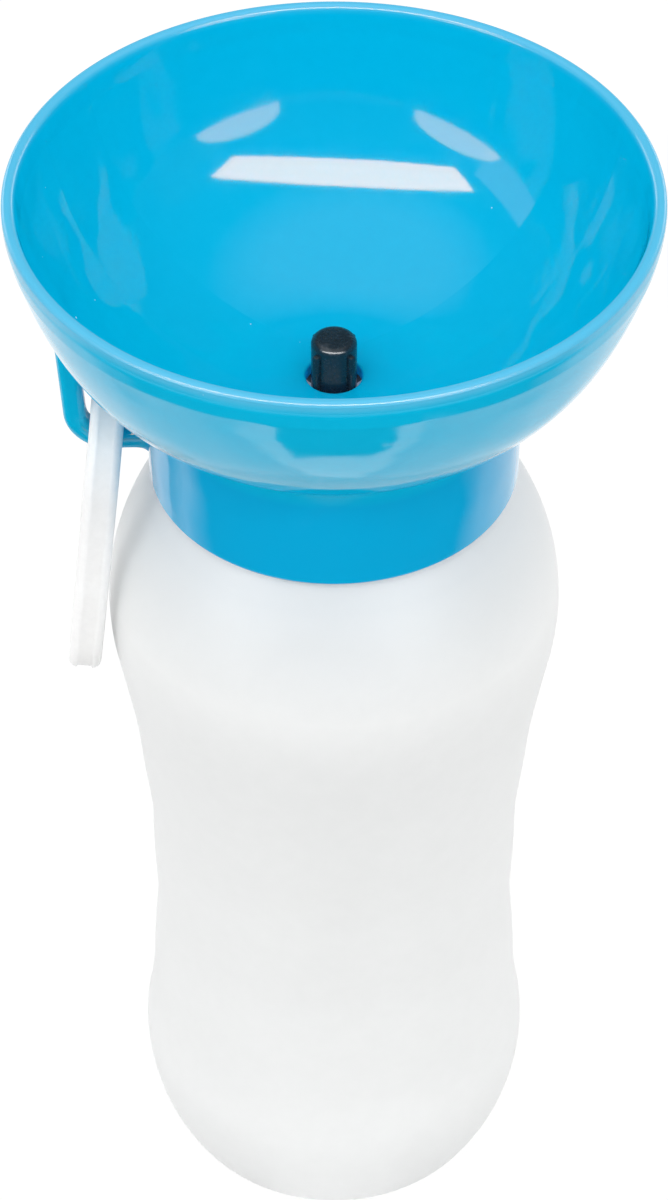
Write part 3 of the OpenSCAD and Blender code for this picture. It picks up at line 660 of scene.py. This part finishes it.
def makeBowl():
    # one closed profile, turned: up the hole, round the boss that holds the valve, along the
    # outside with its flat land for the gasket, over the rim and down the inside. The rim's
    # outside swells by bandStep, and its inside flows into the side's arc; the last rimPoints
    # of both arcs make way for it
    b = bowl
    cut = b["rimPoints"]
    baseZ = b["topZ"] - b["depth"]
    floorZ = baseZ + b["wall"]
    landZ = baseZ - b["landH"]
    outer, inner = bowlSide(0), bowlSide(b["wall"])
    bandZ = b["topZ"] - b["band"] - b["bandSlope"]
    inR = b["rimR"] - b["rimWall"]
    topZ = b["topZ"] - b["rimDrop"]
    rim = rounded([outer[-cut], (b["rimR"] - b["bandStep"], bandZ),
                   (b["rimR"], bandZ + b["bandRise"]), (b["rimR"], topZ), (inR, topZ),
                   inner[-1], inner[-cut - 1]],
                  [0, b["bandRound"], b["bandRound"], b["rimOut"], b["rimIn"], b["rimFlow"], 0],
                  12, closed=False)
    atLand = np.interp([b["landIn"], b["landR"]], outer[:, 0], outer[:, 1])
    boss = rounded([(b["holeR"], floorZ), (b["holeR"], baseZ), (b["bossIn"], baseZ),
                    (b["bossIn"], baseZ - b["bossH"]), (b["bossR"], baseZ - b["bossH"]),
                    (b["bossR"], baseZ), outer[0]],
                   [0, *[b["bossEdge"]] * 4, b["bossRoot"], 0], 5, closed=False)
    hollow = outer[1:][outer[1:, 0] < b["landIn"] - b["landClear"]]
    rise = outer[outer[:, 0] > b["landR"] + b["landClear"]]
    land = rounded([hollow[-1], (b["landIn"], atLand[0]), (b["landIn"], landZ), (b["landR"], landZ),
                    (b["landR"], atLand[1]), rise[0]],
                   [0, b["landRoot"], b["landEdge"], b["landEdge"], b["landRoot"], 0], 5,
                   closed=False)
    lip = arcOf(b["holeR"] + b["holeLip"], floorZ - b["holeLip"], b["holeLip"], 90, 180, 6)
    profile = np.concatenate([boss[1:], hollow[:-1], land, rise[1:-cut], rim,
                              inner[::-1][cut + 1:], lip])
    piece("bowlShell", "cap", [turned(profile, around=288, closed=True)], blueGloss,
          ["drinking_bowl"])


makeBowl()

collar = dict(r=29.15, inR=27.15, lowZ=157.3, edge=0.6, inEdge=0.4, sink=0.9,
              threadR=25.8, threadStart=160.2)
loop = dict(w=3.5, t=3.8, edge=1.2, reach=41.9, corner=7.2, lean=2.9, rise=3.2, flare=0.7,
            flareLength=0.7, root=1.2, tall=22.5)


def bowlUnderside(r):
    # height of the bowl's outside at radius r
    side = bowlSide(0)
    return np.interp(r, side[:, 0], side[:, 1])


def makeLoop():
    # bar out of the collar, a quarter circle, and an upright cut off inside the bowl's wall:
    # the whole hook is tipped by lean about the start of the quarter circle. Its section
    # swells by flare exp(-distance / flareLength) at the collar and at the bowl
    k = loop
    midR = k["corner"] - k["w"] / 2
    cornerX = k["reach"] - k["corner"]
    barZ = collar["lowZ"] + k["rise"] + k["w"] / 2
    bar = np.linspace(collar["r"] - cornerX - k["root"], 0, 24)
    upright = np.linspace(midR, midR + k["tall"], 48)
    bend = arcOf(0, midR, midR, -90, 0, 24)
    flat = np.concatenate([np.stack([bar, 0 * bar], 1)[:-1], bend,
                           np.stack([0 * upright + midR, upright], 1)[1:]])
    turn = np.gradient(flat, axis=0)
    turn /= np.linalg.norm(turn, axis=1, keepdims=True)
    lean = math.radians(k["lean"])
    tip = np.array([[math.cos(lean), -math.sin(lean)], [math.sin(lean), math.cos(lean)]])
    flat = flat @ tip
    turn = turn @ tip
    path = np.stack([-(cornerX + flat[:, 0]), 0 * flat[:, 0], barZ + flat[:, 1]], 1)
    side = np.stack([-turn[:, 1], 0 * turn[:, 0], -turn[:, 0]], 1)
    across = np.repeat([[0.0, 1.0, 0.0]], len(path), 0)
    ring = rounded([(-k["w"] / 2, -k["t"] / 2), (k["w"] / 2, -k["t"] / 2),
                    (k["w"] / 2, k["t"] / 2), (-k["w"] / 2, k["t"] / 2)], k["edge"], 8)
    step = np.linalg.norm(np.gradient(path, axis=0), axis=1)
    along = np.cumsum(step) - step[0]
    topGap = bowlUnderside(-path[:, 0]) - path[:, 2]
    swell = k["flare"] * (np.exp(-np.maximum(along - k["root"], 0) / k["flareLength"])
                          + np.exp(-np.maximum(topGap, 0) / k["flareLength"]))
    size = 1 + 2 * swell[:, None, None] / np.array([k["w"], k["t"]])[None, None, :]
    section = ring[None] * size
    points, quads, tris = swept(path, side, across, section)
    ceiling = bowlUnderside(np.hypot(points[:, 0], points[:, 1])) + collar["sink"]
    high = points[:, 2] > ceiling
    points[high, 2] = ceiling[high]
    return points, quads, tris


def makeCollar():
    # a turned skirt that runs up into the bowl's wall, its thread and its loop
    c = collar
    topZ = bowlUnderside(c["r"]) + c["sink"]
    skirt = rounded([(c["inR"], topZ), (c["inR"], c["lowZ"]), (c["r"], c["lowZ"]), (c["r"], topZ)],
                    [0.05, c["inEdge"], c["edge"], 0.05], 9)
    ridge = helix(c["inR"], c["threadR"], c["threadStart"], 180)
    parts = [turned(skirt, around=224, closed=True), ridge, makeLoop()]
    piece("collarWithLoop", "cap", parts, blueGloss, ["screw_collar"])


makeCollar()

plug = dict(above=0.25, coreR=3.55, edge=1.1, stemR=2.3, footRound=0.4, stepRound=0.2,
            grooveZ=164.35, grooveR=1.6, grooveH=1.7, grooveRound=0.1, ribR=4.29, ribIn=2.0,
            ribW=1.1, ribDrop=1.5, ribRound=0.28, lugZ=170.35, lugH=1.8, lugR=5.62,
            lugW=1.08, lugRound=0.2)


def ribPlate(rIn, rOut, z0, z1, angle, width, soft):
    # upright plate from rIn to rOut, swept from z0 to z1. A shrink that falls from soft at
    # both ends to 0 a length soft further in is taken off rOut and, 0.8 times, off each side
    z = np.array([z0, z0 + soft * 0.3, z0 + soft, z1 - soft, z1 - soft * 0.3, z1])
    shrink = np.array([soft, soft * 0.3, 0, 0, soft * 0.3, soft])[:, None]
    ring = rounded([(rIn, -width / 2), (rOut, -width / 2), (rOut, width / 2), (rIn, width / 2)],
                   [0.05, soft, soft, 0.05], 6)
    section = np.repeat(ring[None], len(z), 0)
    section[:, :, 1] *= 1 - 2 * shrink / width * 0.8
    section[:, :, 0] -= shrink * (section[:, :, 0] - rIn) / (rOut - rIn)
    out = np.repeat([[math.cos(angle), math.sin(angle), 0.0]], len(z), 0)
    across = np.repeat([[-math.sin(angle), math.cos(angle), 0.0]], len(z), 0)
    path = np.stack([0 * z, 0 * z, z], 1)
    return swept(path, out, across, section)


def makePlug():
    # a turned core with a groove for the O-ring, four guide ribs, and four lugs at their foot;
    # its top stands above the CAD node's
    p = plug
    footZ, topZ = plugLow.z / mm, plugHigh.z / mm + p["above"]
    low, high = p["grooveZ"] - p["grooveH"] / 2, p["grooveZ"] + p["grooveH"] / 2
    core = rounded([(0, footZ), (p["stemR"], footZ), (p["stemR"], low), (p["grooveR"], low),
                    (p["grooveR"], high), (p["stemR"], high), (p["stemR"], p["lugZ"]),
                    (p["coreR"], p["lugZ"]), (p["coreR"], topZ), (0, topZ)],
                   [0, p["footRound"], *[p["grooveRound"]] * 4, *[p["stepRound"]] * 2,
                    p["edge"], 0], 10, closed=False)
    parts = [turned(core, around=96)]
    for quarter in range(4):
        angle = math.radians(45 + 90 * quarter)
        parts.append(ribPlate(p["ribIn"], p["ribR"], p["lugZ"], topZ - p["ribDrop"], angle,
                              p["ribW"], p["ribRound"]))
        parts.append(ribPlate(p["ribIn"], p["lugR"], p["lugZ"], p["lugZ"] + p["lugH"], angle,
                              p["lugW"], p["lugRound"]))
    piece("plugBody", "plug", parts, plugDark, ["valve_plug"])


makePlug()

kept = dict(neck_gasket=sealClear, valve_housing=glowingHousing, housing_seal=sealDark,
            plug_o_ring=sealDark, dip_tube=tubeClear, carabiner_body=whiteNatural,
            carabiner_gate=whiteNatural, gate_pin=steelWire, gate_spring=steelWire)


def dressNodes():
    # each CAD node that stays gets its material
    for name, material in kept.items():
        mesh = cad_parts[name].data
        mesh.materials.clear()
        mesh.materials.append(material)


dressNodes()
print("frame nodes dressed")

paper = dict(size=1.6, colour=(0.55, 0.55, 0.55), show=0.9, glow=1.06, shine=1.1, stripe=0.7,
             stripeFade=(0.02, 0.035), dark=0.05, slope=1.02, shift=0.051, wobble=0.02,
             wobbleScale=55.0, wedgeFade=0.004, start=0.078, startFade=0.003, ring=0.15,
             ringFade=0.015, ringFront=(-0.04, 0.02), far=(0.23, 0.26), farFront=(-0.08, 0.0),
             farShine=0.55)
studio = dict(ambient=(0.65, 1.25), ceiling=0.85, ceilingFade=(0.74, 0.92),
              zenith=(-0.12, 0.0, 0.99), middle=0.03, backdrop=0.6, behind=0.9,
              rearFade=(0.05, 0.35), wallFoot=0.04, wallTop=(0.2, 0.35))
lamps = [dict(name="frontSoft", place=(-0.095, -1.27, 1.58), size=(3.5, 0.7), shape="RECTANGLE",
              tilt=0, turn=-5.7, radiance=2.6, shine=False),
         dict(name="frontStrip", place=(-0.09, -1.2, 1.5), size=(3.5, 0.62), shape="RECTANGLE",
              tilt=0, turn=-5.7, radiance=20.0, shine=True, again=0.36),
         dict(name="leftWindow", place=(0.594, -0.755, 0.4), size=(0.6, 0.36), shape="ELLIPSE",
              tilt=90, turn=38.5, radiance=7.5, shine=True),
         dict(name="rightWindow", place=(-0.742, -0.613, 0.411), size=(0.67, 0.37), shape="ELLIPSE",
              tilt=90, turn=-49.5, radiance=7.7, shine=True),
         dict(name="faintWindow", place=(-0.954, -0.154, 0.553), size=(0.59, 0.34),
              shape="RECTANGLE", tilt=90, turn=-79.5, radiance=1.5, shine=True),
         dict(name="leftRimLight", place=(0.8, 0.89, 0.46), size=(0.6, 0.42), shape="RECTANGLE",
              tilt=90, turn=138, radiance=3.2, shine=True, again=0.0),
         dict(name="rightRimLight", place=(-0.8, 0.89, 0.46), size=(0.6, 0.42),
              shape="RECTANGLE", tilt=90, turn=-138, radiance=3.2, shine=True, again=0.0),
         dict(name="leftSoft", place=(1.3, -0.6, 0.7), size=(0.8, 0.8), shape="RECTANGLE",
              tilt=75, turn=65, radiance=1.5, shine=False),
         dict(name="rightSoft", place=(-1.3, -0.6, 0.7), size=(0.8, 0.8), shape="RECTANGLE",
              tilt=75, turn=-65, radiance=1.5, shine=False)]


def makeFloor():
    # pale paper. Glossy rays see another brightness: shine, and stripe more along the edges of
    # a dark wedge, where |x| + noise + slope y + shift is below 0 and y below -start; dark
    # also beyond ring in front, and farShine beyond far there. Places are in metres
    p = paper
    half = p["size"] / 2
    mesh = bpy.data.meshes.new("floor")
    mesh.from_pydata([(-half, -half, 0), (half, -half, 0), (half, half, 0), (-half, half, 0)],
                     [], [(0, 1, 2, 3)])
    material, nodes, links, shader = newMaterial("paperFloor")
    shader.inputs["Roughness"].default_value = 0.9
    shader.inputs["Specular IOR Level"].default_value = 0.1
    shader.inputs["Base Color"].default_value = (*p["colour"], 1.0)
    path = nodes.new("ShaderNodeLightPath")
    place, xyz, reach = placeParts(nodes, links)
    wave = spread(nodes, links, noiseNode(nodes, links, place, p["wobbleScale"]), -p["wobble"],
                  p["wobble"], 0, 1)
    out = mathNode(nodes, links, "ADD", mathNode(nodes, links, "ABSOLUTE", xyz[0]), wave)
    back = mathNode(nodes, links, "MULTIPLY", xyz[1], p["slope"])
    side = mathNode(nodes, links, "ADD", mathNode(nodes, links, "ADD", out, back), p["shift"])
    wedge = mathNode(nodes, links, "MULTIPLY",
                     spread(nodes, links, side, 1, 0, -p["wedgeFade"], p["wedgeFade"]),
                     spread(nodes, links, xyz[1], 1, 0, -p["start"] - p["startFade"],
                            -p["start"] + p["startFade"]))
    ring = mathNode(nodes, links, "MULTIPLY",
                    spread(nodes, links, reach, 0, 1, p["ring"] - p["ringFade"],
                           p["ring"] + p["ringFade"]),
                    spread(nodes, links, xyz[1], 1, 0, *p["ringFront"]))
    stripe = spread(nodes, links, side, p["shine"] + p["stripe"], p["shine"], *p["stripeFade"])
    shine = blendOf(nodes, links, mathNode(nodes, links, "MAXIMUM", wedge, ring), stripe,
                    p["dark"])
    away = mathNode(nodes, links, "MULTIPLY", spread(nodes, links, reach, 0, 1, *p["far"]),
                    spread(nodes, links, xyz[1], 1, 0, *p["farFront"]))
    shine = blendOf(nodes, links, away, shine, p["farShine"])
    glow = nodes.new("ShaderNodeEmission")
    links.new(blendOf(nodes, links, path.outputs["Is Glossy Ray"], p["glow"], shine),
              glow.inputs["Strength"])
    mix = nodes.new("ShaderNodeMixShader")
    shown = mathNode(nodes, links, "MULTIPLY", path.outputs["Is Camera Ray"], p["show"])
    links.new(mathNode(nodes, links, "MAXIMUM", shown, path.outputs["Is Glossy Ray"]), mix.inputs[0])
    links.new(shader.outputs[0], mix.inputs[1])
    links.new(glow.outputs[0], mix.inputs[2])
    links.new(mix.outputs[0], nodes["Material Output"].inputs["Surface"])
    mesh.materials.append(material)
    floor = bpy.data.objects.new("floor", mesh)
    bpy.context.scene.collection.objects.link(floor)


def makeWorld():
    # white to the camera. Gloss and glass see walls that brighten from backdrop to behind with
    # y and fade to middle with height, and a ceiling round the zenith. The rest sees an
    # ambient light that grows with height
    t = studio
    world = bpy.data.worlds.new("studio")
    bpy.context.scene.world = world
    world.use_nodes = True
    nodes, links = world.node_tree.nodes, world.node_tree.links
    back = nodes["Background"]
    back.inputs["Color"].default_value = (1, 1, 1, 1)
    path = nodes.new("ShaderNodeLightPath")
    split = nodes.new("ShaderNodeSeparateXYZ")
    aim = nodes.new("ShaderNodeTexCoord").outputs["Generated"]
    links.new(aim, split.inputs[0])
    near = nodes.new("ShaderNodeVectorMath")
    near.operation = "DOT_PRODUCT"
    links.new(aim, near.inputs[0])
    near.inputs[1].default_value = t["zenith"]
    rear = spread(nodes, links, split.outputs[1], t["backdrop"], t["behind"], *t["rearFade"])
    fade = nodes.new("ShaderNodeMapRange")
    links.new(split.outputs[2], fade.inputs["Value"])
    fade.inputs["From Min"].default_value = t["wallFoot"]
    links.new(spread(nodes, links, split.outputs[1], *t["wallTop"], *t["rearFade"]),
              fade.inputs["From Max"])
    walls = blendOf(nodes, links, fade.outputs[0], rear, t["middle"])
    room = blendOf(nodes, links,
                   spread(nodes, links, near.outputs["Value"], 0, 1, *t["ceilingFade"]), walls,
                   t["ceiling"])
    shiny = mathNode(nodes, links, "MAXIMUM", path.outputs["Is Glossy Ray"],
                     path.outputs["Is Transmission Ray"])
    soft = spread(nodes, links, split.outputs[2], *t["ambient"], 0, 1)
    lit = blendOf(nodes, links, shiny, soft, room)
    links.new(blendOf(nodes, links, path.outputs["Is Camera Ray"], lit, 1.0),
              back.inputs["Strength"])


def makeLamps():
    # area lamps that light either gloss or all else: power = radiance pi area, and pi / 4 of
    # it for an ellipse. A lamp with again is seen at that share in a second reflection
    for lamp in lamps:
        data = bpy.data.lights.new(lamp["name"], "AREA")
        data.shape = lamp["shape"]
        data.size, data.size_y = lamp["size"]
        full = math.pi / 4 if lamp["shape"] == "ELLIPSE" else 1
        data.energy = lamp["radiance"] * math.pi * data.size * data.size_y * full
        if "again" in lamp:
            data.use_nodes = True
            nodes, links = data.node_tree.nodes, data.node_tree.links
            depth = nodes.new("ShaderNodeLightPath").outputs["Glossy Depth"]
            links.new(spread(nodes, links, depth, 1, lamp["again"], 1, 2),
                      nodes["Emission"].inputs["Strength"])
        made = bpy.data.objects.new(lamp["name"], data)
        made.location = lamp["place"]
        made.rotation_euler = (math.radians(lamp["tilt"]), 0, math.radians(lamp["turn"]))
        made.visible_camera = False
        made.visible_glossy = lamp["shine"]
        made.visible_diffuse = not lamp["shine"]
        bpy.context.scene.collection.objects.link(made)


makeFloor()
makeWorld()
makeLamps()
print("studio set")
